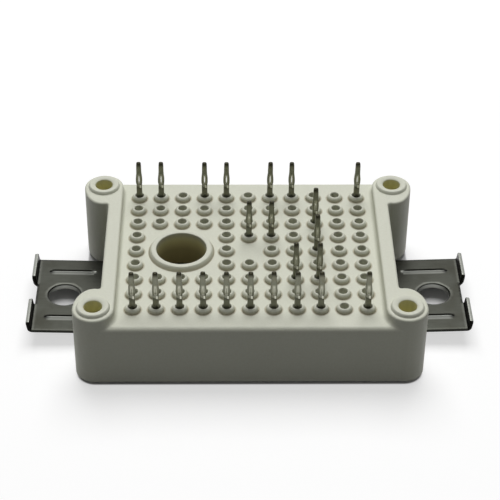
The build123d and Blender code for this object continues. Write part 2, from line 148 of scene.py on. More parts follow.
def add(tree, kind, inputs=None, **settings):
    """Adds a node. inputs maps a socket's name or number to a value or to another node's output."""
    node = tree.nodes.new(kind)
    for name, value in settings.items():
        setattr(node, name, value)
    for key, value in (inputs or {}).items():
        if isinstance(value, bpy.types.NodeSocket):
            tree.links.new(value, node.inputs[key])
        else:
            node.inputs[key].default_value = value
    return node


def cleared(owner):
    """Empty node tree of a material or a world."""
    owner.use_nodes = True
    owner.node_tree.nodes.clear()
    return owner.node_tree


def blank_material(name):
    """A new material with its tree, its shader and Object coordinates in metres."""
    made = bpy.data.materials.new(name)
    tree = cleared(made)
    coords = add(tree, "ShaderNodeTexCoord").outputs["Object"]
    shader = add(tree, "ShaderNodeBsdfPrincipled")
    add(tree, "ShaderNodeOutputMaterial", {"Surface": shader.outputs["BSDF"]})
    return made, tree, shader, coords


def grains(millimetres):
    """Noise scale, in metres, whose cells are about this many millimetres wide."""
    return 1 / (millimetres * MM)


def marked(tree, colour, tones):
    """Lays a tone over the colour wherever an attribute of the mesh marks it."""
    for name, tone in tones.items():
        mark = add(tree, "ShaderNodeAttribute", attribute_name=name)
        colour = add(tree, "ShaderNodeMix", {
            "Factor": mark.outputs["Fac"], "A": colour.outputs["Result"], "B": linear(tone)},
            data_type="RGBA")
    return colour


def wire_up(tree, shader, colour, gloss, relief, strength, depth):
    """Gives the shader its colour, its roughness and a fine relief of this many millimetres."""
    bump = add(tree, "ShaderNodeBump", {
        "Height": relief.outputs["Fac"], "Strength": strength, "Distance": depth * MM})
    tree.links.new(colour.outputs["Result"], shader.inputs["Base Color"])
    tree.links.new(gloss.outputs["Result"], shader.inputs["Roughness"])
    tree.links.new(bump.outputs["Normal"], shader.inputs["Normal"])


# Materials


def moulded_polyester():
    # Glass-filled polyester moulded in a fine spark-eroded tool: a warm ivory, satin and a little cloudy,
    # with a grain one sees only where light grazes it. It lets some light through, and the walls of its
    # holes get a painted amber glow that stands in for that light. Painted shade darkens the lid round the
    # feet of the bosses, and darkens the big hole towards the brown fill below.
    made, tree, shader, coords = blank_material("moulded_ivory_polyester")
    clouds = add(tree, "ShaderNodeTexNoise", {"Vector": coords, "Scale": grains(7.0), "Detail": 3.0})
    speckle = add(tree, "ShaderNodeTexNoise", {"Vector": coords, "Scale": grains(0.35), "Detail": 4.0})
    body = add(tree, "ShaderNodeMix", {
        "Factor": clouds.outputs["Fac"], "A": linear("#CDCFBE"), "B": linear("#D8D9CA")},
        data_type="RGBA")
    specks = add(tree, "ShaderNodeMapRange", {
        "Value": speckle.outputs["Fac"], "From Min": 0.35, "From Max": 0.7, "To Min": 0.0, "To Max": 0.25})
    grainy = add(tree, "ShaderNodeMix", {
        "Factor": specks.outputs["Result"], "A": body.outputs["Result"], "B": linear("#C3C4AF")},
        data_type="RGBA")
    # Painted amber glow on the hole walls, and painted shade round the bosses' feet and down the big hole.
    with_glow_and_shade = marked(tree, grainy, {"painted_glow": "#DDD9A8", "painted_shade": "#8B7F5F"})
    sheen = add(tree, "ShaderNodeMapRange", {
        "Value": clouds.outputs["Fac"], "From Min": 0.3, "From Max": 0.7, "To Min": 0.46, "To Max": 0.6})
    grit = add(tree, "ShaderNodeTexNoise", {"Vector": coords, "Scale": grains(0.14), "Detail": 3.0})
    wire_up(tree, shader, with_glow_and_shade, sheen, grit, 0.35, 0.04)
    shader.inputs["IOR"].default_value = 1.5
    return made


def rolled_steel():
    # Cold rolled spring steel, oiled and dark grey: fine rolling streaks run across the module. Painted
    # shade darkens the steep rear walls of the beads, the ear flanges, the cut edges below their rounding
    # and the ears' side edges, and painted highlights lie on the beads' long slopes, the bends, the cut
    # edges' rounding, the ears' tops and the hole's wall.
    made, tree, shader, coords = blank_material("cold_rolled_dark_steel")
    along = add(tree, "ShaderNodeMapping", {"Vector": coords, "Scale": (0.07, 1.0, 1.0)})
    streaks = add(tree, "ShaderNodeTexNoise", {
        "Vector": along.outputs["Vector"], "Scale": grains(0.22), "Detail": 5.0, "Roughness": 0.65})
    stains = add(tree, "ShaderNodeTexNoise", {"Vector": coords, "Scale": grains(3.5), "Detail": 4.0})
    colour = add(tree, "ShaderNodeMix", {
        "Factor": streaks.outputs["Fac"], "A": linear("#2C2D28"), "B": linear("#3C3D38")},
        data_type="RGBA")
    stain_and_shade = add(tree, "ShaderNodeMapRange", {
        "Value": stains.outputs["Fac"], "From Min": 0.45, "From Max": 0.7, "To Min": 0.0, "To Max": 0.8})
    stained = add(tree, "ShaderNodeMix", {
        "Factor": stain_and_shade.outputs["Result"], "A": colour.outputs["Result"], "B": linear("#2A2A24")},
        data_type="RGBA")
    # Painted shade and painted highlights from the bead, edge and hole marks, laid over the steel.
    with_painted_marks = marked(tree, stained, {"painted_dark": "#0F0F0C", "painted_highlight": "#B3B5AE"})
    gloss = add(tree, "ShaderNodeMapRange", {
        "Value": streaks.outputs["Fac"], "From Min": 0.25, "From Max": 0.75, "To Min": 0.3, "To Max": 0.44})
    wire_up(tree, shader, with_painted_marks, gloss, streaks, 0.25, 0.02)
    shader.inputs["Metallic"].default_value = 1.0
    return made


def tinned_bronze():
    # Stamped bronze strip under a thin matt tin plating: grey with a warm cast, drawn lengthways by the
    # stamping tool. The coined faces of the eye and the shoulder carry a painted highlight, painted shade
    # lies just above and below the shoulder, and the point is darker, partly where the cut end is bare and
    # tarnished and partly as painted shade.
    made, tree, shader, coords = blank_material("tin_plated_bronze")
    upright = add(tree, "ShaderNodeMapping", {"Vector": coords, "Scale": (1.0, 1.0, 0.12)})
    drawn = add(tree, "ShaderNodeTexNoise", {
        "Vector": upright.outputs["Vector"], "Scale": grains(0.12), "Detail": 4.0})
    clouds = add(tree, "ShaderNodeTexNoise", {"Vector": coords, "Scale": grains(0.9), "Detail": 3.0})
    tin = add(tree, "ShaderNodeMix", {
        "Factor": drawn.outputs["Fac"], "A": linear("#626356"), "B": linear("#868778")},
        data_type="RGBA")
    warm = add(tree, "ShaderNodeMapRange", {
        "Value": clouds.outputs["Fac"], "From Min": 0.5, "From Max": 0.75, "To Min": 0.0, "To Max": 0.5})
    cast = add(tree, "ShaderNodeMix", {
        "Factor": warm.outputs["Result"], "A": tin.outputs["Result"], "B": linear("#6D6953")},
        data_type="RGBA")
    # Painted shade round the shoulder and painted highlights on the coined strips and the shoulder.
    with_painted_marks = marked(tree, cast, {"painted_dark": "#211F16", "painted_highlight": "#D2D2C2"})
    # Darker towards the point: partly the bare, tarnished cut end, partly painted shade.
    height = add(tree, "ShaderNodeSeparateXYZ", {"Vector": coords})
    point = add(tree, "ShaderNodeMapRange", {
        "Value": height.outputs["Z"], "From Min": 15.95 * MM, "From Max": 16.5 * MM}, clamp=True)
    bare = add(tree, "ShaderNodeMix", {
        "Factor": point.outputs["Result"], "A": with_painted_marks.outputs["Result"], "B": linear("#2C2B21")},
        data_type="RGBA")
    gloss = add(tree, "ShaderNodeMapRange", {
        "Value": drawn.outputs["Fac"], "From Min": 0.3, "From Max": 0.7, "To Min": 0.24, "To Max": 0.42})
    wire_up(tree, shader, bare, gloss, drawn, 0.2, 0.02)
    shader.inputs["Metallic"].default_value = 1.0
    return made


def surface(name, dark, light, grain, rough, relief, metallic=0.0, stretch=(1.0, 1.0, 1.0), ior=None):
    """A finish of two mixed tones with a grain of so many millimetres, for a piece inside."""
    made, tree, shader, coords = blank_material(name)
    drawn = add(tree, "ShaderNodeMapping", {"Vector": coords, "Scale": stretch})
    fine = add(tree, "ShaderNodeTexNoise", {
        "Vector": drawn.outputs["Vector"], "Scale": grains(grain), "Detail": 4.0})
    broad = add(tree, "ShaderNodeTexNoise", {"Vector": coords, "Scale": grains(12 * grain), "Detail": 2.0})
    blend = add(tree, "ShaderNodeMix", {
        "Factor": 0.5, "A": fine.outputs["Fac"], "B": broad.outputs["Fac"]}, data_type="FLOAT")
    spread = add(tree, "ShaderNodeMapRange", {
        "Value": blend.outputs["Result"], "From Min": 0.35, "From Max": 0.65})
    colour = add(tree, "ShaderNodeMix", {
        "Factor": spread.outputs["Result"], "A": linear(dark), "B": linear(light)}, data_type="RGBA")
    gloss = add(tree, "ShaderNodeMapRange", {
        "Value": fine.outputs["Fac"], "From Min": 0.3, "From Max": 0.7,
        "To Min": rough[0], "To Max": rough[1]})
    wire_up(tree, shader, colour, gloss, fine, relief, grain / 5)
    shader.inputs["Metallic"].default_value = metallic
    if ior:
        shader.inputs["IOR"].default_value = ior
    return made


MATERIALS = {
    "moulded_housing": moulded_polyester(),
    "clamp_steel": rolled_steel(),
    "tinned_contact": tinned_bronze(),
    # Deep drawn tin plated tubes, brighter than the contacts and drawn upright.
    "sleeve_metal": surface(
        "drawn_tinned_sleeve", "#9C9A90", "#C4C2B9", 0.1, (0.22, 0.36), 0.15,
        metallic=1.0, stretch=(1, 1, 0.15)),
    # Copper foil bonded to the ceramic, rolled along the module and dulled by handling.
    "heat_copper": surface(
        "rolled_bare_copper", "#A86A4C", "#CB8D6B", 0.16, (0.3, 0.48), 0.2,
        metallic=1.0, stretch=(0.12, 1, 1)),
    # The same copper on the circuit side, etched into islands and left cleaner.
    "track_copper": surface(
        "etched_track_copper", "#B67553", "#D49773", 0.16, (0.28, 0.42), 0.15,
        metallic=1.0, stretch=(0.2, 1, 1)),
    # Sintered alumina: chalk white and matt, with the faint pits of its grain.
    "substrate_ceramic": surface(
        "sintered_alumina", "#E0DED5", "#EEEDE6", 0.12, (0.55, 0.72), 0.25, ior=1.76),
    # Silicon with a metallised top: dark, even and nearly mirror smooth.
    "silicon_chip": surface(
        "metallised_silicon", "#53565F", "#70747D", 0.3, (0.14, 0.24), 0.05, metallic=1.0),
    # Reflowed soft solder: dull grey with a frosted skin.
    "solder": surface(
        "reflowed_solder", "#83837F", "#A9A9A4", 0.12, (0.36, 0.55), 0.3, metallic=1.0),
    # Drawn pure aluminium, bright with fine lines.
    "bond_aluminium": surface(
        "drawn_bond_aluminium", "#BDBEC0", "#DADBDC", 0.06, (0.22, 0.34), 0.1, metallic=1.0),
    # Cured silicone seam: grey, soft and slightly uneven.
    "seam_adhesive": surface(
        "cured_seam_silicone", "#7C7C74", "#93938B", 0.4, (0.5, 0.65), 0.3, ior=1.41),
    # Clear silicone gel over a dark circuit: wet looking, with the amber light in the case painted into its
    # colour as brown.
    "silicone_fill": surface(
        "cured_silicone_gel", "#2B2413", "#3B321B", 1.5, (0.1, 0.2), 0.05, ior=1.41),
    # Sintered sensor ceramic: charcoal and faintly rough.
    "sensor_ceramic": surface(
        "sintered_sensor_ceramic", "#3B3A36", "#55534C", 0.1, (0.5, 0.65), 0.2, ior=1.7),
}


# Mesh helpers


def finished(name, bm, material):
    """Turns a mesh drawn in millimetres into an object in metres, with its place in its mesh."""
    bmesh.ops.scale(bm, vec=(MM, MM, MM), verts=bm.verts)
    mesh = bpy.data.meshes.new(name)
    bm.to_mesh(mesh)
    bm.free()
    mesh.materials.append(material)
    made = bpy.data.objects.new(name, mesh)
    bpy.context.scene.collection.objects.link(made)
    return made


def place_of(column, row):
    """Place of a grid position, counted from the rear left corner."""
    return ((column - (COLUMNS - 1) / 2) * GRID_PITCH, ((ROWS - 1) / 2 - row) * GRID_PITCH)


def circle(rays):
    """Directions of this many rays, evenly round."""
    return [(math.cos(a), math.sin(a)) for a in (2 * math.pi * i / rays for i in range(rays))]


def square_border(tiles):
    """Points round a square of so many tiles a side, spaced as the rays of one tile cut its border."""
    half = GRID_PITCH / 2
    steps = BOSS_RAYS // 8
    side = []
    for tile in range(tiles):
        middle = (tile - (tiles - 1) / 2) * GRID_PITCH
        side += [middle + half * math.tan(math.radians(45) * i / steps) for i in range(-steps, steps)]
    points = [(tiles * half, y) for y in side]
    for _ in range(3):
        points += [(-y, x) for x, y in points[-len(side):]]
    return points


def skin(bm, lower, upper):
    """Faces between two closed loops with the same number of points."""
    for a in range(len(lower)):
        b = (a + 1) % len(lower)
        bm.faces.new((lower[a], lower[b], upper[b], upper[a]))


def turned(bm, directions, profile, start=None):
    """Skins a profile of (radius, height) points round the directions, from a start loop if given."""
    loops = [start] if start else []
    for radius, z in profile:
        loops.append([bm.verts.new((radius * dx, radius * dy, z)) for dx, dy in directions])
    for lower, upper in zip(loops, loops[1:]):
        skin(bm, lower, upper)
    return loops[-1]


def mark_smooth(bm, sharp_above):
    """Smooth shading, with hard edges only where two faces meet at more than this many degrees."""
    for face in bm.faces:
        face.smooth = True
    for edge in bm.edges:
        if len(edge.link_faces) == 2:
            edge.smooth = edge.calc_face_angle(0.0) < math.radians(sharp_above)


def grown(name, base, tree, values):
    """Runs a Geometry Nodes tree on a mesh and gives its result as a plain mesh."""
    carrier = bpy.data.objects.new(name, base)
    bpy.context.scene.collection.objects.link(carrier)
    modifier = carrier.modifiers.new("grow", "NODES")
    modifier.node_group = tree
    for item in tree.interface.items_tree:
        if item.item_type == "SOCKET" and item.in_out == "INPUT" and item.name in values:
            modifier[item.identifier] = values[item.name]
    graph = bpy.context.evaluated_depsgraph_get()
    result = bpy.data.meshes.new_from_object(carrier.evaluated_get(graph), depsgraph=graph)
    carrier.modifiers.remove(modifier)
    bpy.data.objects.remove(carrier)
    return result


def plain_mesh(name, bm):
    """A mesh left in millimetres, for a tree or for another mesh to take in."""
    mesh = bpy.data.meshes.new(name)
    bm.to_mesh(mesh)
    bm.free()
    return mesh


def hidden_source(name, bm):
    """An object that a tree instances, kept out of the scene."""
    return bpy.data.objects.new(name, plain_mesh(name, bm))


def points_mesh(name, places):
    """Loose points on the ground plane, for a tree to stand its copies on."""
    mesh = bpy.data.meshes.new(name)
    mesh.from_pydata([(x, y, 0.0) for x, y in places], [], [])
    return mesh


def ramp(value, start, end):
    """0 up to the start, 1 from the end on, and even in between."""
    return min(1.0, max(0.0, (value - start) / (end - start)))


def band(value, low, high, soft):
    """1 between two limits, falling to 0 over a soft margin outside them."""
    return max(0.0, min(1.0, (value - low) / soft + 1, (high - value) / soft + 1))


def drawn_in(points, distance):
    """The same closed outline, this much further in all round."""
    area = sum(a[0] * b[1] - b[0] * a[1] for a, b in zip(points, points[1:] + points[:1]))
    turn = 1 if area > 0 else -1
    moved = []
    for i, here in enumerate(points):
        before, after = points[i - 1], points[(i + 1) % len(points)]
        one = Vector((here[0] - before[0], here[1] - before[1])).normalized()
        two = Vector((after[0] - here[0], after[1] - here[1])).normalized()
        middle = (one + two).normalized()
        inward = Vector((-middle.y, middle.x)) * turn
        reach = distance / max(0.5, inward.dot(Vector((-one.y, one.x)) * turn))
        moved.append((here[0] + inward.x * reach, here[1] + inward.y * reach))
    return moved


# Trees of what repeats


def tree_with(name, sockets):
    """A Geometry Nodes tree with these named inputs and one geometry output."""
    tree = bpy.data.node_groups.new(name, "GeometryNodeTree")
    tree.interface.new_socket("Geometry", in_out="INPUT", socket_type="NodeSocketGeometry")
    for socket, kind in sockets.items():
        tree.interface.new_socket(socket, in_out="INPUT", socket_type=kind)
    tree.interface.new_socket("Geometry", in_out="OUTPUT", socket_type="NodeSocketGeometry")
    return tree, add(tree, "NodeGroupInput").outputs


def lid_tree():
    """Boss tiles on every grid place but those of the fill hole's field, and one plain tile."""
    tree, given = tree_with("lid_of_tiles", {
        "Columns": "NodeSocketInt", "Rows": "NodeSocketInt", "Pitch": "NodeSocketFloat",
        "Hole Middle": "NodeSocketVector", "Hole Reach": "NodeSocketFloat",
        "Bare Middle": "NodeSocketVector", "Boss Tile": "NodeSocketObject",
        "Plain Tile": "NodeSocketObject", "Weld": "NodeSocketFloat", "Material": "NodeSocketMaterial"})
    spans = []
    for count in ("Columns", "Rows"):
        gaps = add(tree, "ShaderNodeMath", {0: given[count], 1: 1.0}, operation="SUBTRACT")
        spans.append(add(tree, "ShaderNodeMath", {
            0: gaps.outputs[0], 1: given["Pitch"]}, operation="MULTIPLY"))
    grid = add(tree, "GeometryNodeMeshGrid", {
        "Size X": spans[0].outputs[0], "Size Y": spans[1].outputs[0],
        "Vertices X": given["Columns"], "Vertices Y": given["Rows"]})
    here = add(tree, "GeometryNodeInputPosition").outputs[0]
    near = []
    for middle in ("Hole Middle", "Bare Middle"):
        offset = add(tree, "ShaderNodeVectorMath", {0: here, 1: given[middle]}, operation="SUBTRACT")
        size = add(tree, "ShaderNodeVectorMath", {0: offset.outputs[0]}, operation="ABSOLUTE")
        parts = add(tree, "ShaderNodeSeparateXYZ", {0: size.outputs[0]})
        near.append(add(tree, "ShaderNodeMath", {
            0: parts.outputs[0], 1: parts.outputs[1]}, operation="MAXIMUM"))
    in_hole = add(tree, "FunctionNodeCompare", {
        0: near[0].outputs[0], 1: given["Hole Reach"]}, data_type="FLOAT", operation="LESS_THAN")
    half = add(tree, "ShaderNodeMath", {0: given["Pitch"], 1: 0.5}, operation="MULTIPLY")
    bare = add(tree, "FunctionNodeCompare", {
        0: near[1].outputs[0], 1: half.outputs[0]}, data_type="FLOAT", operation="LESS_THAN")
    not_bare = add(tree, "FunctionNodeBooleanMath", {0: bare.outputs[0]}, operation="NOT")
    field = add(tree, "GeometryNodeDeleteGeometry", {
        "Geometry": grid.outputs["Mesh"], "Selection": in_hole.outputs[0]}, domain="POINT")
    laid = []
    for kind, chosen in (("Boss Tile", not_bare), ("Plain Tile", bare)):
        source = add(tree, "GeometryNodeObjectInfo", {"Object": given[kind]})
        laid.append(add(tree, "GeometryNodeInstanceOnPoints", {
            "Points": field.outputs[0], "Selection": chosen.outputs[0],
            "Instance": source.outputs["Geometry"]}))
    joined = add(tree, "GeometryNodeJoinGeometry")
    for part in laid:
        tree.links.new(part.outputs[0], joined.inputs[0])
    real = add(tree, "GeometryNodeRealizeInstances", {"Geometry": joined.outputs[0]})
    welded = add(tree, "GeometryNodeMergeByDistance", {
        "Geometry": real.outputs[0], "Distance": given["Weld"]})
    coated = add(tree, "GeometryNodeSetMaterial", {
        "Geometry": welded.outputs[0], "Material": given["Material"]})
    add(tree, "NodeGroupOutput", {0: coated.outputs[0]})
    return tree


def copies_tree():
    """One shape on every point of a mesh, each leaning a little its own way."""
    tree, given = tree_with("copies_at_places", {
        "Shape": "NodeSocketObject", "Lean": "NodeSocketFloat", "Seed": "NodeSocketInt",
        "Material": "NodeSocketMaterial"})
    least = add(tree, "ShaderNodeMath", {0: given["Lean"], 1: -1.0}, operation="MULTIPLY")
    low = add(tree, "ShaderNodeCombineXYZ", {"X": least.outputs[0], "Y": least.outputs[0]})
    high = add(tree, "ShaderNodeCombineXYZ", {"X": given["Lean"], "Y": given["Lean"]})
    lean = add(tree, "FunctionNodeRandomValue", {
        0: low.outputs[0], 1: high.outputs[0], "Seed": given["Seed"]}, data_type="FLOAT_VECTOR")
    source = add(tree, "GeometryNodeObjectInfo", {"Object": given["Shape"]})
    placed = add(tree, "GeometryNodeInstanceOnPoints", {
        "Points": given["Geometry"], "Instance": source.outputs["Geometry"], "Rotation": lean.outputs[0]})
    real = add(tree, "GeometryNodeRealizeInstances", {"Geometry": placed.outputs[0]})
    coated = add(tree, "GeometryNodeSetMaterial", {
        "Geometry": real.outputs[0], "Material": given["Material"]})
    add(tree, "NodeGroupOutput", {0: coated.outputs[0]})
    return tree


COPIES = copies_tree()


# Housing


# Section of a guide boss from its foot to the lid's underside, as (radius, height above the lid)
BOSS_SECTION = [
    (1.38, 0.0), (1.17, 0.003), (1.13, 0.015), (1.115, 0.05), (1.105, 0.13), (1.085, 0.28),
    (1.055, 0.39), (1.0, 0.50), (0.93, 0.59), (0.855, 0.655), (0.78, 0.692), (0.725, 0.7),
    (0.675, 0.685), (0.635, 0.64), (0.61, 0.56), (0.6, 0.44), (0.59, -0.2),
    (0.58, CEILING_Z - FLOOR_Z),
]
# The same for the collar round the fill hole, down to the end of its neck
COLLAR_SECTION = [
    (4.74, 0.0), (4.66, 0.02), (4.61, 0.07), (4.57, 0.16), (4.42, 0.42), (4.36, 0.54), (4.28, 0.64),
    (4.17, 0.69), (4.05, 0.7), (3.75, 0.7), (3.66, 0.685), (3.59, 0.64), (3.56, 0.56),
    (FILL_HOLE_RADIUS, 0.4), (FILL_HOLE_RADIUS, -0.3), (FILL_HOLE_RADIUS, -1.0),
    (FILL_HOLE_RADIUS, -2.2), (FILL_HOLE_RADIUS, FILL_NECK_Z - FLOOR_Z),
]
# Ring on a screw post, from the rail's top over its edge and down to the bottom of the screw hole
RING_SECTION = [
    (RING_RADIUS + 0.07, RAIL_Z), (RING_RADIUS + 0.02, RAIL_Z + 0.02),
    (RING_RADIUS - 0.01, RAIL_Z + 0.08), (RING_RADIUS - 0.07, RING_Z - 0.19),
    (RING_RADIUS - 0.14, RING_Z - 0.09), (RING_RADIUS - 0.24, RING_Z - 0.02),
    (RING_RADIUS - 0.36, RING_Z), (RING_RADIUS - 0.5, RING_Z - 0.015),
    (SCREW_HOLE_RADIUS + 0.3, RING_Z - 0.08), (SCREW_HOLE_RADIUS + 0.13, RING_Z - 0.13),
    (SCREW_HOLE_RADIUS + 0.04, RING_Z - 0.2), (SCREW_HOLE_RADIUS, RING_Z - 0.32),
    (SCREW_HOLE_RADIUS, RING_Z - 1.2), (SCREW_HOLE_RADIUS, RING_Z - SCREW_HOLE_DEPTH),
]


def lid_tile(tiles, section):
    """Square piece of the lid with a turned shape in its middle, open below."""
    bm = bmesh.new()
    border = square_border(tiles)
    rim = [bm.verts.new((x, y, FLOOR_Z)) for x, y in border]
    directions = [(x / math.hypot(x, y), y / math.hypot(x, y)) for x, y in border]
    turned(bm, directions, [(r, FLOOR_Z + z) for r, z in section], rim)
    return bm


def plain_tile():
    """Square piece of the lid with nothing on it."""
    bm = bmesh.new()
    bm.faces.new([bm.verts.new((x, y, FLOOR_Z)) for x, y in square_border(1)])
    return bm


def post_top():
    """Ring, screw hole and the hole's bottom, standing on the axis."""
    bm = bmesh.new()
    bm.faces.new(turned(bm, circle(POST_RAYS), RING_SECTION))
    return bm


def boundary_at(bm, z):
    """Open edges that lie at one height."""
    return [
        e for e in bm.edges
        if e.is_boundary and all(abs(v.co.z - z) < FLAT for v in e.verts)
    ]


def open_loops(edges):
    """Vertices of each closed chain of edges, in order."""
    around = {}
    for edge in edges:
        for vert in edge.verts:
            around.setdefault(vert, []).append(edge)
    left = set(edges)
    loops = []
    while left:
        edge = min(left, key=lambda e: e.index)
        left.remove(edge)
        loop = [edge.verts[0], edge.verts[1]]
        while loop[-1] is not loop[0]:
            following = next(e for e in around[loop[-1]] if e in left)
            left.remove(following)
            loop.append(following.other_vert(loop[-1]))
        loops.append(loop[:-1])
    return loops


def by_screw_hole(point):
    """Whether a point lies in or on the wall of a screw hole."""
    return math.hypot(abs(point.x) - POST_X, abs(point.y) - POST_Y) < SCREW_HOLE_RADIUS + NEAR


def by_fill_hole(point):
    """Whether a point lies in or on the wall of the fill hole."""
    hole_x, hole_y = place_of(*FILL_HOLE_PLACE)
    return math.hypot(point.x - hole_x, point.y - hole_y) < FILL_HOLE_RADIUS + NEAR


def in_lid(point):
    """Whether a point lies within the field of the contact grid, seen from above."""
    return abs(point.x) < COLUMNS * GRID_PITCH / 2 and abs(point.y) < ROWS * GRID_PITCH / 2


def drawn_anew(face):
    """Whether a face of the CAD housing gives way to the lid, the rail tops or a hole drawn here."""
    points = [vert.co for vert in face.verts]
    for z in (FLOOR_Z, CEILING_Z, FILL_NECK_Z):
        if all(abs(p.z - z) < FLAT for p in points):
            return True
    if all(p.z > RAIL_Z - CAD_RAIL_ROUNDING - FLAT for p in points):
        return True
    if all(by_fill_hole(p) for p in points) or all(by_screw_hole(p) for p in points):
        return True
    return all(in_lid(p) and p.z > CEILING_Z - FLAT for p in points)


def shell():
    """The CAD housing without its lid, bosses, fill hole, rail tops and screw holes, in millimetres.

    Its foot comes down close to the ground, with only a small edge left.
    """
    bm = bmesh.new()
    bm.from_mesh(frame["nodes"]["housing"].data)
    bmesh.ops.scale(bm, vec=(1 / MM,) * 3, verts=bm.verts)
    bmesh.ops.remove_doubles(bm, verts=bm.verts, dist=FLAT)
    bmesh.ops.delete(bm, geom=[face for face in bm.faces if drawn_anew(face)], context="FACES")
    new_levels = (
        (CAD_RIM_Z, RIM_Z), (CAD_RIM_TOP_Z, RIM_TOP_Z),
        (RAIL_Z - CAD_RAIL_ROUNDING, RAIL_Z - RAIL_ROUNDING))
    for cad_z, z in new_levels:
        for vert in bm.verts:
            if abs(vert.co.z - cad_z) < FLAT:
                vert.co.z = z
    return bm


def round_rail_tops(bm):
    """Rolls the top edge of both rails and their posts over, as far as the flat top."""
    foot_z = RAIL_Z - RAIL_ROUNDING
    bm.edges.index_update()
    steps = 5
    for loop in open_loops(boundary_at(bm, foot_z)):
        outline = [(v.co.x, v.co.y) for v in loop]
        lower = loop
        for i in range(1, steps + 1):
            angle = math.pi / 2 * i / steps
            inset = drawn_in(outline, RAIL_ROUNDING * (1 - math.cos(angle)))
            upper = [bm.verts.new((x, y, foot_z + RAIL_ROUNDING * math.sin(angle))) for x, y in inset]
            skin(bm, lower, upper)
            lower = upper


def paint_housing_light(bm):
    """Marks a painted amber glow on the walls of the holes, and painted shade in the depth of the big one
    and round the feet of the bosses.
    """
    painted_glow = bm.verts.layers.float.new("painted_glow")
    painted_shade = bm.verts.layers.float.new("painted_shade")
    pale_mouth, shade_top = 0.25, 0.45
    # The painted glow on hole walls stands in for light through the plastic; painted shade darkens the big
    # hole downwards and the lid round each boss's foot, strongest at the lid.
    for vert in bm.verts:
        depth = FLOOR_Z - vert.co.z
        if by_screw_hole(vert.co) and vert.co.z < RING_Z - pale_mouth:
            vert[painted_glow] = 1.0
        if by_fill_hole(vert.co):
            vert[painted_glow] = ramp(depth, -0.6, 0.6)
            vert[painted_shade] = 0.75 * ramp(depth, 0.3, 2.3)
        elif in_lid(vert.co) and FLAT < -depth < shade_top + FLAT:
            vert[painted_shade] = 0.7 + 1.2 * depth


def housing():
    """One watertight moulding: the CAD shell with a finely turned lid, rings and rounded edges."""
    material = MATERIALS["moulded_housing"]
    hole_x, hole_y = place_of(*FILL_HOLE_PLACE)
    bare_x, bare_y = place_of(*BARE_PLACE)
    lid = grown("lid", bpy.data.meshes.new("lid"), lid_tree(), {
        "Columns": COLUMNS, "Rows": ROWS, "Pitch": GRID_PITCH, "Hole Middle": (hole_x, hole_y, 0.0),
        "Hole Reach": FILL_HOLE_TILES / 2 * GRID_PITCH, "Bare Middle": (bare_x, bare_y, 0.0),
        "Boss Tile": hidden_source("boss_tile", lid_tile(1, BOSS_SECTION)),
        "Plain Tile": hidden_source("plain_tile", plain_tile()), "Weld": FLAT, "Material": material})
    posts = points_mesh("post_places", [(x, y) for x in (-POST_X, POST_X) for y in (-POST_Y, POST_Y)])
    rings = grown("rings", posts, COPIES, {
        "Shape": hidden_source("post_top", post_top()), "Lean": 0.0, "Seed": 0, "Material": material})
    collar = lid_tile(FILL_HOLE_TILES, COLLAR_SECTION)
    bmesh.ops.translate(collar, vec=(hole_x, hole_y, 0.0), verts=collar.verts)

    bm = shell()
    round_rail_tops(bm)
    for mesh in (lid, rings, plain_mesh("collar", collar)):
        bm.from_mesh(mesh)
    bmesh.ops.remove_doubles(bm, verts=bm.verts, dist=FLAT)
    for z in (FLOOR_Z, CEILING_Z, RAIL_Z, FILL_NECK_Z):
        bmesh.ops.triangle_fill(bm, edges=boundary_at(bm, z), use_beauty=False)
    bmesh.ops.recalc_face_normals(bm, faces=bm.faces)
    paint_housing_light(bm)
    mark_smooth(bm, sharp_above=24)
    made = finished("moulded_housing", bm, material)
    normals = made.modifiers.new("even shading", "WEIGHTED_NORMAL")
    normals.keep_sharp = True
    return made


# Clamps


def rounded_outline(corners, step):
    """Closed outline through corners of (x, y, radius), with points no further apart than step."""
    arc_steps = 8
    arcs = []
    for i, (x, y, radius) in enumerate(corners):
        here = Vector((x, y))
        before = Vector(corners[i - 1][:2])
        after = Vector(corners[(i + 1) % len(corners)][:2])
        back, on = (before - here).normalized(), (after - here).normalized()
        half = back.angle(on) / 2
        reach = radius / math.tan(half)
        centre = here + (back + on).normalized() * (radius / math.sin(half))
        first, last = here + back * reach - centre, here + on * reach - centre
        sweep = first.angle_signed(last)
        arcs.append([
            centre + Matrix.Rotation(-sweep * k / arc_steps, 2) @ first for k in range(arc_steps + 1)])
    points = []
    for i, arc in enumerate(arcs):
        points += arc
        gap = arcs[(i + 1) % len(arcs)][0] - arc[-1]
        count = math.ceil(gap.length / step)
        points += [arc[-1] + gap * k / count for k in range(1, count)]
    return [tuple(p) for p in points]


def bead_across(y):
    """Place across the nearer bead, from -1 at its front edge to 1 at its rear edge."""
    return (y - math.copysign(BEAD_Y, y)) / (BEAD_WIDTH / 2)


def bead_depth(x, y):
    """How far the blank is pressed down at a point: a long slope, then a steep rear wall."""
    if not BEAD_START_X < x < BEAD_END_X:
        return 0.0
    run_out = min(
        ramp(x, BEAD_START_X, BEAD_START_X + BEAD_RUN_OUT), ramp(x, BEAD_END_X, BEAD_END_X - BEAD_RUN_OUT))
    fullness = math.sin(math.pi / 2 * run_out) ** 0.7
    across = bead_across(y) / fullness
    if abs(across) >= 1:
        return 0.0
    side = 1 - BEAD_DEEPEST if across > BEAD_DEEPEST else 1 + BEAD_DEEPEST
    return BEAD_DEPTH * fullness * (0.5 + 0.5 * math.cos(math.pi * (across - BEAD_DEEPEST) / side))


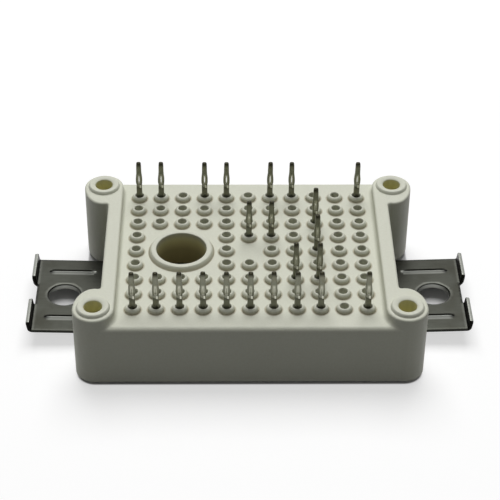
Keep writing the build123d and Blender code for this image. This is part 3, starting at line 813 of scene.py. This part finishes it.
def painted_sheet_marks(s, y, h):
    """Painted shade and painted highlight, each 0 to 1, at a point of the blank."""
    if s > CLAMP_BEND_X - 0.3 and h > -CLAMP_THICKNESS / 2:
        # Painted shade on the ear flange and a faint painted highlight on the bend.
        stain_and_shade = band(s, CLAMP_BEND_X + 0.3, math.inf, 0.15)
        return stain_and_shade, 0.07 * band(s, CLAMP_BEND_X - 0.05, CLAMP_BEND_X + 0.1, 0.2)
    if bead_depth(s, y) == 0.0 or h < -CLAMP_THICKNESS / 2:
        return 0.0, 0.0
    across = bead_across(y)
    tip = band(s, BEAD_END_X - 0.3, math.inf, 0.6)
    # Painted shade along the bead's steep rear wall and a painted highlight on its long slope.
    stain_and_shade = band(across, 0.7 - 0.8 * tip, 1.0, 0.1)
    return stain_and_shade, 0.38 * band(across, -0.75, 0.55, 0.2) * (1 - tip)


def painted_edge_marks(s, ear_end, level, in_hole):
    """Painted shade and highlight on a cut edge: a highlight on the rounding, the ear tops and the hole's
    wall, shade lower on the edge and round the ears' ends.

    The level counts down the edge from the top face.
    """
    if in_hole:
        return ((0, 0.06), (0, 0.12), (0, 0.06), (0.9, 0), (0, 0.9))[min(level, 4)]
    if s > ear_end - 0.02:
        return 0, 0.45
    if s > CLAMP_BEND_X + 0.1:
        return 1, 0
    return ((0, 0), (0, 0.08), (0, 0.06), (0.5, 0))[min(level, 3)]


def pressed(s, y, h):
    """Place of a point of the flat blank, h above its top face, once it is pressed and bent."""
    neutral = EAR_BEND_RADIUS + CLAMP_THICKNESS / 2
    if s <= CLAMP_BEND_X:
        return s, y, CLAMP_TOP_Z + h - bead_depth(s, y)
    turn = min((s - CLAMP_BEND_X) / neutral, EAR_ANGLE)
    along = s - CLAMP_BEND_X - neutral * turn
    radius = EAR_BEND_RADIUS - h
    x = CLAMP_BEND_X + radius * math.sin(turn) + along * math.cos(turn)
    z = CLAMP_TOP_Z + EAR_BEND_RADIUS - radius * math.cos(turn) + along * math.sin(turn)
    return x, y, z


def fitted(side, x, z):
    """Place of a point of the pressed clamp in its slot, a little out of it and sprung up."""
    x += CLAMP_PLAY[side]
    if x <= CLAMP_WALL_X:
        return x, z
    middle_z = CLAMP_TOP_Z - CLAMP_THICKNESS / 2
    cos_spring, sin_spring = math.cos(CLAMP_SPRING[side]), math.sin(CLAMP_SPRING[side])
    out, up = x - CLAMP_WALL_X, z - middle_z
    return CLAMP_WALL_X + out * cos_spring - up * sin_spring, middle_z + out * sin_spring + up * cos_spring


def spaced(low, high, step):
    """Even values from low to high, no further apart than step."""
    count = math.ceil((high - low) / step)
    return [low + (high - low) * i / count for i in range(count + 1)]


def clamp_blank():
    """Outline, screw hole and inner points of the flat blank."""
    half, notch = CLAMP_WIDTH / 2, EAR_NOTCH_WIDTH / 2
    ear = CLAMP_BEND_X + (EAR_BEND_RADIUS + CLAMP_THICKNESS / 2) * EAR_ANGLE + EAR_LENGTH
    outline = rounded_outline([
        (CLAMP_ROOT_X, -half, 0.3), (ear, -half, 0.35), (ear, -notch, 0.5), (CLAMP_NOTCH_X, -notch, 0.3),
        (CLAMP_NOTCH_X, notch, 0.3), (ear, notch, 0.5), (ear, half, 0.35), (CLAMP_ROOT_X, half, 0.3)], 0.2)
    hole = [
        (CLAMP_HOLE_X + CLAMP_HOLE_RADIUS * dx, -CLAMP_HOLE_RADIUS * dy) for dx, dy in circle(HOLE_RAYS)]
    margin, mesh_width = 0.4, 0.35
    inner = [
        (x, y) for x in spaced(CLAMP_ROOT_X + margin, CLAMP_BEND_X, mesh_width)
        for y in spaced(margin - half, half - margin, mesh_width)
        if bead_depth(x, y) == 0.0 and math.hypot(x - CLAMP_HOLE_X, y) > CLAMP_HOLE_RADIUS + margin]
    for side in (-1, 1):
        inner += [
            (x, y) for x in spaced(BEAD_START_X, BEAD_END_X, 0.14)
            for y in (side * BEAD_Y + BEAD_WIDTH / 2 * across for across in BEAD_ROWS)
            if bead_depth(x, y) > 0.0]
        inner += [
            (x, side * y) for x in spaced(CLAMP_BEND_X + 0.06, ear - 0.3, 0.09)
            for y in spaced(notch + 0.35, half - 0.3, 0.5)]
    return outline, hole, inner


def edge_levels(top_rounding, collar):
    """Steps round a cut edge from the top face to the bottom one, as (inset, height).

    A punched hole keeps a low collar that stands down below the sheet.
    """
    steps = [math.radians(30 * i) for i in range(4)]
    low, foot = CLAMP_EDGE_ROUNDING, -CLAMP_THICKNESS - collar
    levels = [(top_rounding * (1 - math.cos(a)), top_rounding * (math.sin(a) - 1)) for a in reversed(steps)]
    levels.append((0.0, -top_rounding - 0.05))
    levels += [(low * (1 - math.cos(a)), foot + low * (1 - math.sin(a))) for a in steps]
    if collar:
        levels += [
            (COLLAR_WALL - 0.08, foot), (COLLAR_WALL - 0.02, foot + 0.05), (COLLAR_WALL, -CLAMP_THICKNESS)]
    return levels


def inside(point, outline):
    """Whether a point lies within a closed outline."""
    odd = False
    for (x0, y0), (x1, y1) in zip(outline, outline[1:] + outline[:1]):
        if (y0 > point.y) != (y1 > point.y) and point.x < x0 + (point.y - y0) / (y1 - y0) * (x1 - x0):
            odd = not odd
    return odd


def clamp(name, side):
    """One pressed sheet with rolled edges, beads and two turned-up ears; side is -1 or 1."""
    outline, hole, inner = clamp_blank()
    ear_end = max(s for s, y in outline)
    bm = bmesh.new()
    painted_dark = bm.verts.layers.float.new("painted_dark")
    painted_highlight = bm.verts.layers.float.new("painted_highlight")

    def vert_at(s, y, h, marks):
        x, y, z = pressed(s, y, h)
        x, z = fitted(side, x, z)
        vert = bm.verts.new((side * x, y, z))
        vert[painted_dark], vert[painted_highlight] = marks
        return vert

    edges = []
    for ring, inward, rounding, collar in (
            (outline, 1, CLAMP_EDGE_ROUNDING, 0.0), (hole, -1, HOLE_ROLL_OVER, HOLE_COLLAR)):
        loops = []
        for level, (inset, h) in enumerate(edge_levels(rounding, collar)):
            marks = [painted_edge_marks(s, ear_end, level, ring is hole) for s, y in ring]
            loops.append([
                vert_at(s, y, h, mark) for (s, y), mark in zip(drawn_in(ring, inward * inset), marks)])
        for upper, lower in zip(loops, loops[1:]):
            skin(bm, upper, lower)
        edges.append(loops)

    rim, hole_rim = drawn_in(outline, CLAMP_EDGE_ROUNDING), drawn_in(hole, -HOLE_ROLL_OVER)
    count = len(rim)
    bounds = [(i, (i + 1) % count) for i in range(count)]
    bounds += [(count + i, count + (i + 1) % HOLE_RAYS) for i in range(HOLE_RAYS)]
    points = [Vector(p) for p in rim + hole_rim + inner]
    found, _, triangles, origins, _, _ = delaunay_2d_cdt(points, bounds, [], 0, 1e-5)
    middles = [sum((found[i] for i in triangle), Vector((0, 0))) / 3 for triangle in triangles]
    sheet = [
        triangle for triangle, middle in zip(triangles, middles)
        if inside(middle, rim) and not inside(middle, hole_rim)]
    for level, h in ((0, 0.0), (-1, -CLAMP_THICKNESS)):
        rim_verts = edges[0][level] + edges[1][level]
        verts = []
        for point, origin in zip(found, origins):
            known = [o for o in origin if o < len(rim_verts)]
            if known:
                verts.append(rim_verts[known[0]])
            else:
                verts.append(vert_at(point.x, point.y, h, painted_sheet_marks(point.x, point.y, h)))
        for triangle in sheet:
            bm.faces.new([verts[i] for i in triangle])
    bmesh.ops.recalc_face_normals(bm, faces=bm.faces)
    mark_smooth(bm, sharp_above=35)
    return finished(name, bm, MATERIALS["clamp_steel"])


# Contacts


# Contact from foot to point. A section has its height, width, thickness, slot width, depth of the coined
# strips, slant, corner rounding as a share of its smaller half, painted highlight and painted shade. The
# slant tips the shoulder under the eye to one side.
PIN_SECTIONS = [
    (PIN_FOOT_Z, 0.78, 0.60, 0.0, 0.0, 0.0, 0.3, 0.0, 0.0),
    (PIN_FOOT_Z + 0.1, 0.84, 0.64, 0.0, 0.0, 0.0, 0.26, 0.0, 0.0),
    (11.6, 0.82, 0.66, 0.0, 0.0, 0.0, 0.26, 0.0, 0.0),
    (12.0, 0.81, 0.68, 0.0, 0.0, 0.1, 0.26, 0.0, 0.1),
    (12.3, 0.80, 0.70, 0.0, 0.0, 0.3, 0.26, 0.0, 0.4),
    (12.44, 0.80, 0.71, 0.0, 0.0, 0.45, 0.26, 0.1, 0.5),
    (12.5, 0.79, 0.70, 0.0, 0.0, 0.5, 0.26, 1.0, 0.0),
    (12.82, 0.77, 0.50, 0.0, 0.0, 0.45, 0.26, 1.0, 0.0),
    (12.88, 0.78, 0.50, 0.0, 0.02, 0.3, 0.26, 0.1, 0.6),
    (12.96, 0.82, 0.52, 0.02, 0.04, 0.15, 0.24, 0.3, 0.3),
    (13.05, 0.87, 0.55, 0.04, 0.06, 0.05, 0.22, 0.55, 0.0),
    (13.2, 0.91, 0.60, 0.07, 0.06, 0.0, 0.22, 0.55, 0.0),
    (13.35, 0.93, 0.63, 0.08, 0.06, 0.0, 0.22, 0.55, 0.0),
    (13.55, 0.94, 0.64, 0.09, 0.06, 0.0, 0.22, 0.6, 0.0),
    (13.8, 0.94, 0.64, 0.09, 0.06, 0.0, 0.22, 0.6, 0.0),
    (14.0, 0.92, 0.63, 0.08, 0.06, 0.0, 0.22, 0.55, 0.0),
    (14.2, 0.88, 0.62, 0.06, 0.06, 0.0, 0.22, 0.5, 0.0),
    (14.4, 0.84, 0.61, 0.03, 0.06, 0.0, 0.24, 0.45, 0.0),
    (14.55, 0.80, 0.6, 0.0, 0.05, 0.0, 0.25, 0.35, 0.0),
    (14.68, 0.77, 0.6, 0.0, 0.02, 0.0, 0.26, 0.2, 0.0),
    (14.8, 0.75, 0.6, 0.0, 0.0, 0.0, 0.26, 0.0, 0.0),
    (15.2, 0.73, 0.6, 0.0, 0.0, 0.0, 0.28, 0.0, 0.0),
    (15.8, 0.72, 0.6, 0.0, 0.0, 0.0, 0.3, 0.0, 0.0),
    (16.2, 0.70, 0.59, 0.0, 0.0, 0.0, 0.34, 0.0, 0.0),
    (16.42, 0.68, 0.58, 0.0, 0.0, 0.0, 0.42, 0.0, 0.0),
    (16.55, 0.63, 0.54, 0.0, 0.0, 0.0, 0.55, 0.0, 0.0),
    (16.63, 0.52, 0.46, 0.0, 0.0, 0.0, 0.7, 0.0, 0.0),
    (16.68, 0.34, 0.32, 0.0, 0.0, 0.0, 0.9, 0.0, 0.0),
    (PIN_Z, 0.1, 0.1, 0.0, 0.0, 0.0, 1.0, 0.0, 0.0),
]


def half_section(width, depth, slot, recess, corner_share):
    """Right half of a contact's section from the middle of its front to the middle of its back.

    Each point says whether it lies in the coined strip beside the slot.
    """
    w, d = width / 2, depth / 2
    radius = min(w, d) * corner_share
    strip = min(COINED_STRIP, 0.9 * (w - radius))
    points = [(slot / 2, recess - d, True), (0.9 * strip, recess - d, True), (strip, -d, False)]
    for centre_y, start in ((radius - d, -90), (d - radius, 0)):
        for angle in (math.radians(start + 22.5 * k) for k in range(5)):
            x, y = w - radius + radius * math.cos(angle), centre_y + radius * math.sin(angle)
            points.append((x, y, False))
    return points + [(strip, d, False), (0.9 * strip, d - recess, True), (slot / 2, d - recess, True)]


def contact():
    """One stamped contact standing on the axis: slanted shoulder, slotted eye, blunt point.

    The shoulder's painted highlight lies right of its middle. Elsewhere the painted highlight lies on the
    coined strips, or on the whole section where it has none.
    """
    bm = bmesh.new()
    painted_dark = bm.verts.layers.float.new("painted_dark")
    painted_highlight = bm.verts.layers.float.new("painted_highlight")
    last = None
    for z, width, depth, slot, recess, slant, corner_share, shine, stain_and_shade in PIN_SECTIONS:
        halves = []
        for side in (1, -1):
            half = []
            for x, y, in_strip in half_section(width, depth, slot, recess, corner_share):
                vert = bm.verts.new((side * x, y, z - slant * side * x))
                # Painted highlight on the shoulder patch and coined strips, and painted shade where the
                # section gives it.
                lit = 0.1 < side * x < 0.3 if slant > 0.4 else in_strip or not recess
                vert[painted_highlight] = shine if lit else 0.0
                vert[painted_dark] = stain_and_shade
                half.append(vert)
            halves.append(half)
        if last:
            last_halves, last_slot = last
            for lower, upper in zip(last_halves, halves):
                for a in range(len(lower) - 1):
                    bm.faces.new((lower[a], lower[a + 1], upper[a + 1], upper[a]))
                if slot or last_slot:
                    bm.faces.new((lower[-1], lower[0], upper[0], upper[-1]))
        else:
            bm.faces.new(halves[0] + halves[1][::-1])
        last = (halves, slot)
    bm.faces.new(last[0][0] + last[0][1][::-1])
    bmesh.ops.remove_doubles(bm, verts=bm.verts, dist=FLAT / 2)
    bmesh.ops.recalc_face_normals(bm, faces=bm.faces)
    mark_smooth(bm, sharp_above=40)
    bmesh.ops.translate(bm, vec=(0, 0, -FLOOR_Z), verts=bm.verts)
    return bm


def contacts():
    """All contacts as one mesh, each where its CAD node stands, leaning about the lid."""
    places = []
    for node in PIN_NODES:
        low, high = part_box(node)
        places.append(((low.x + high.x) / 2 / MM, (low.y + high.y) / 2 / MM))
    mesh = grown("contacts", points_mesh("contact_places", places), COPIES, {
        "Shape": hidden_source("contact", contact()), "Lean": PIN_LEAN, "Seed": PIN_SEED,
        "Material": MATERIALS["tinned_contact"]})
    bm = bmesh.new()
    bm.from_mesh(mesh)
    bmesh.ops.translate(bm, vec=(0, 0, FLOOR_Z), verts=bm.verts)
    return finished("press_fit_contacts", bm, MATERIALS["tinned_contact"])


# Pieces and what they stand for


def dress_cad_nodes():
    """Every CAD node takes the material of its slot in the record."""
    for part in frame["record"]["subparts"]:
        node = frame["nodes"][part["node"]]
        node.data.materials.clear()
        node.data.materials.append(MATERIALS[part["material_slot"]])


def take_over(piece, slot, *nodes):
    """Puts a piece in the place of the CAD nodes that it shows better."""
    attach(piece, "root")
    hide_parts(*nodes)


dress_cad_nodes()
take_over(housing(), "moulded_housing", "housing")
take_over(clamp("pressed_clamp_left", -1), "clamp_steel", "clamp_left")
take_over(clamp("pressed_clamp_right", 1), "clamp_steel", "clamp_right")
take_over(contacts(), "tinned_contact", *PIN_NODES)


# Floor, light and camera


# Ground under the module where the floor's glow is left out, a painted shadow in its outline: half length,
# half depth, corner and soft edge, in millimetres. The clamps' painted shadow lies a little to the rear of
# them.
HOUSING_SHADE = (24.1, 16.8, 2.85, 0.25)
CLAMP_SHADE = (30.6, 6.6, 1.6, 1.0)
CLAMP_SHADE_Y = 1.0

FLOOR_REACH = 2000
FLOOR_DROP = 0.01
LAMP_PLACE = Vector((0.0, 0.3, 0.62))
LAMP_TARGET = Vector((0.0, 0.0, 0.01))


def seen_rays(tree):
    """1 for the rays that show the backdrop: to the camera, mirrored or through glass."""
    path = add(tree, "ShaderNodeLightPath").outputs
    first = add(tree, "ShaderNodeMath", {
        0: path["Is Camera Ray"], 1: path["Is Glossy Ray"]}, operation="MAXIMUM")
    return add(tree, "ShaderNodeMath", {
        0: first.outputs[0], 1: path["Is Transmission Ray"]}, operation="MAXIMUM").outputs[0]


def shade_of(tree, place, shade):
    """1 on the ground within a shade's rounded outline, falling to 0 over a soft edge inside it."""
    half_length, half_depth, rounding, soft = shade
    away = add(tree, "ShaderNodeVectorMath", {0: place}, operation="ABSOLUTE")
    inner = ((half_length - rounding) * MM, (half_depth - rounding) * MM, 0.0)
    past = add(tree, "ShaderNodeVectorMath", {0: away.outputs[0], 1: inner}, operation="SUBTRACT")
    outside = add(tree, "ShaderNodeVectorMath", {
        0: past.outputs[0], 1: (0.0, 0.0, 0.0)}, operation="MAXIMUM")
    distance = add(tree, "ShaderNodeVectorMath", {0: outside.outputs[0]}, operation="LENGTH")
    within = add(tree, "ShaderNodeMapRange", {
        "Value": distance.outputs["Value"], "From Min": (rounding - soft) * MM, "From Max": rounding * MM,
        "To Min": 1.0, "To Max": 0.0})
    return within.outputs["Result"]


def pale_paper():
    # Matt white paper: even and shadowless far off, where its own glow makes it white. Under the module the
    # glow is left out, a painted shadow in the module's outline where only the lamp lights the paper, so
    # the ground seen through the clamps is as dark as their shade. There the paper is also painted lighter,
    # so the lamp's patch through the holes stays bright.
    made = bpy.data.materials.new("pale_paper_floor")
    tree = cleared(made)
    coords = add(tree, "ShaderNodeTexCoord").outputs["Object"]
    further_back = add(tree, "ShaderNodeVectorMath", {
        0: coords, 1: (0.0, CLAMP_SHADE_Y * MM, 0.0)}, operation="SUBTRACT")
    painted_shadow = add(tree, "ShaderNodeMath", {
        0: shade_of(tree, coords, HOUSING_SHADE),
        1: shade_of(tree, further_back.outputs[0], CLAMP_SHADE)}, operation="MAXIMUM")
    far = add(tree, "ShaderNodeVectorMath", {0: coords}, operation="LENGTH")
    open_ground = add(tree, "ShaderNodeMapRange", {
        "Value": far.outputs["Value"], "From Min": 0.07, "From Max": 0.3, "To Min": 0.6, "To Max": 1.0})
    strength = add(tree, "ShaderNodeMapRange", {
        "Value": painted_shadow.outputs[0], "To Min": open_ground.outputs["Result"], "To Max": 0.01})
    glow = add(tree, "ShaderNodeEmission", {"Color": (1, 1, 1, 1), "Strength": strength.outputs["Result"]})
    # Paper painted lighter under the module.
    shade = add(tree, "ShaderNodeMapRange", {"Value": painted_shadow.outputs[0], "To Min": 0.5, "To Max": 0.75})
    paper = add(tree, "ShaderNodeBsdfDiffuse", {"Color": shade.outputs["Result"]})
    shown = add(tree, "ShaderNodeAddShader", {0: glow.outputs[0], 1: paper.outputs[0]})
    dull = add(tree, "ShaderNodeBsdfDiffuse", {"Color": (0.2, 0.2, 0.2, 1)})
    mixed = add(tree, "ShaderNodeMixShader", {0: seen_rays(tree), 1: dull.outputs[0], 2: shown.outputs[0]})
    add(tree, "ShaderNodeOutputMaterial", {"Surface": mixed.outputs[0]})
    return made


def floor():
    """Wide pale ground, a hair below the module's base so that the two never coincide."""
    bm = bmesh.new()
    bmesh.ops.create_grid(bm, x_segments=8, y_segments=8, size=FLOOR_REACH)
    bmesh.ops.translate(bm, vec=(0, 0, -FLOOR_DROP), verts=bm.verts)
    return finished("floor", bm, pale_paper())


def surroundings():
    """White to look at, and a dim even fill light on the module."""
    world = bpy.data.worlds.new("studio")
    bpy.context.scene.world = world
    tree = cleared(world)
    fill = add(tree, "ShaderNodeBackground", {"Color": (1, 1, 1, 1), "Strength": 0.11})
    white = add(tree, "ShaderNodeBackground", {"Color": (1, 1, 1, 1), "Strength": 1.0})
    mixed = add(tree, "ShaderNodeMixShader", {0: seen_rays(tree), 1: fill.outputs[0], 2: white.outputs[0]})
    add(tree, "ShaderNodeOutputWorld", {"Surface": mixed.outputs[0]})


def softbox():
    """One large soft lamp above the module and behind it."""
    lamp = bpy.data.lights.new("softbox", "AREA")
    lamp.shape = "SQUARE"
    lamp.size = 0.5
    lamp.energy = 4.2
    holder = bpy.data.objects.new("softbox", lamp)
    holder.location = LAMP_PLACE
    holder.rotation_euler = (LAMP_TARGET - LAMP_PLACE).to_track_quat("-Z", "Y").to_euler()
    bpy.context.scene.collection.objects.link(holder)


def camera():
    """Camera at the photograph's angle, worked out from the lid's grid."""
    yaw, pitch, roll = math.radians(1.14), math.radians(37.91), math.radians(0.62)
    target, distance = Vector((0.14, 0.62, 10.0)) * MM, 239.2 * MM
    forward = Vector((
        math.sin(yaw) * math.cos(pitch), math.cos(yaw) * math.cos(pitch), -math.sin(pitch)))
    right = Vector((math.cos(yaw), -math.sin(yaw), 0.0))
    up = right.cross(forward)
    across = right * math.cos(roll) + up * math.sin(roll)
    upward = up * math.cos(roll) - right * math.sin(roll)
    data = bpy.data.cameras.new("camera")
    data.sensor_width = 36.0
    data.lens = 120.95
    data.clip_start = 0.01
    holder = bpy.data.objects.new("camera", data)
    turn = Matrix((across, upward, -forward)).transposed()
    holder.matrix_world = Matrix.Translation(target - forward * distance) @ turn.to_4x4()
    bpy.context.scene.collection.objects.link(holder)
    bpy.context.scene.camera = holder


floor()
surroundings()
softbox()
camera()
bpy.context.scene.view_settings.view_transform = "Standard"
